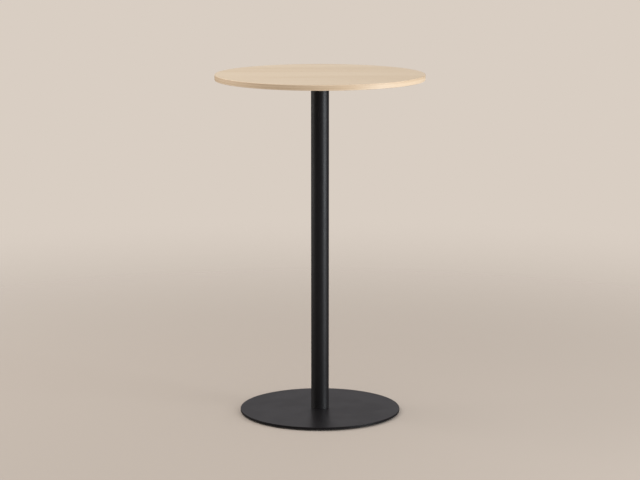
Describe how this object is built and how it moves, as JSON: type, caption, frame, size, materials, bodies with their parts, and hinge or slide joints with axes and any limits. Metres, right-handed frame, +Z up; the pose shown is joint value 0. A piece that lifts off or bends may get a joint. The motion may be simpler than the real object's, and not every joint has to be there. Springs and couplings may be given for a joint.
{
  "type": "standing meeting table",
  "caption": "Standing-height round table: a laminated wood-look top on a straight black steel column and a flat round steel base plate with screw glides.",
  "frame": {"origin": "on the floor under the middle of the column", "axes": "+Z up along the column; +X and +Y level, with the glides at 45 degrees between them"},
  "size_m": [0.7, 0.7, 1.15],
  "materials": {
    "top_laminate": "pale birch-look high pressure laminate, satin, fine straight grain",
    "backing_laminate": "plain pale backing laminate, matt",
    "edge_band": "birch-look edge band, satin, grain running round the rim",
    "chipboard": "bare chipboard, seen only inside the insert holes",
    "black_powder_coat": "black powder coat, satin, very fine texture",
    "cast_aluminium": "sand cast aluminium under a black powder coat, with a faint casting texture",
    "zinc_plated_steel": "zinc plated",
    "bare_steel": "turned steel",
    "black_nylon": "moulded nylon, matt"
  },
  "bodies": {
    "table": {"top_laminate": "top_laminate", "top_core": "chipboard", "backing_laminate": "backing_laminate", "edge_band": "edge_band", "threaded_inserts": "zinc_plated_steel", "top_spider": "cast_aluminium", "spider_screws": "zinc_plated_steel", "spider_screw_washers": "zinc_plated_steel", "column_tube": "black_powder_coat", "column_boss": "bare_steel", "boss_screws": "zinc_plated_steel", "tie_rod": "zinc_plated_steel", "tie_rod_washer": "zinc_plated_steel", "tie_rod_spring_washer": "zinc_plated_steel", "tie_rod_nut": "zinc_plated_steel", "base_plate": "black_powder_coat"},
    "glide_1": {"glide_stud_1": "zinc_plated_steel", "glide_foot_1": "black_nylon"},
    "glide_2": {"glide_stud_2": "zinc_plated_steel", "glide_foot_2": "black_nylon"},
    "glide_3": {"glide_stud_3": "zinc_plated_steel", "glide_foot_3": "black_nylon"},
    "glide_4": {"glide_stud_4": "zinc_plated_steel", "glide_foot_4": "black_nylon"}
  },
  "joints": [
    {"name": "glide_1_screw", "type": "slide", "parent": "table", "child": "glide_1", "axis": [0, 0, -1], "range_m": [0, 0.003]},
    {"name": "glide_2_screw", "type": "slide", "parent": "table", "child": "glide_2", "axis": [0, 0, -1], "range_m": [0, 0.003]},
    {"name": "glide_3_screw", "type": "slide", "parent": "table", "child": "glide_3", "axis": [0, 0, -1], "range_m": [0, 0.003]},
    {"name": "glide_4_screw", "type": "slide", "parent": "table", "child": "glide_4", "axis": [0, 0, -1], "range_m": [0, 0.003]}
  ]
}
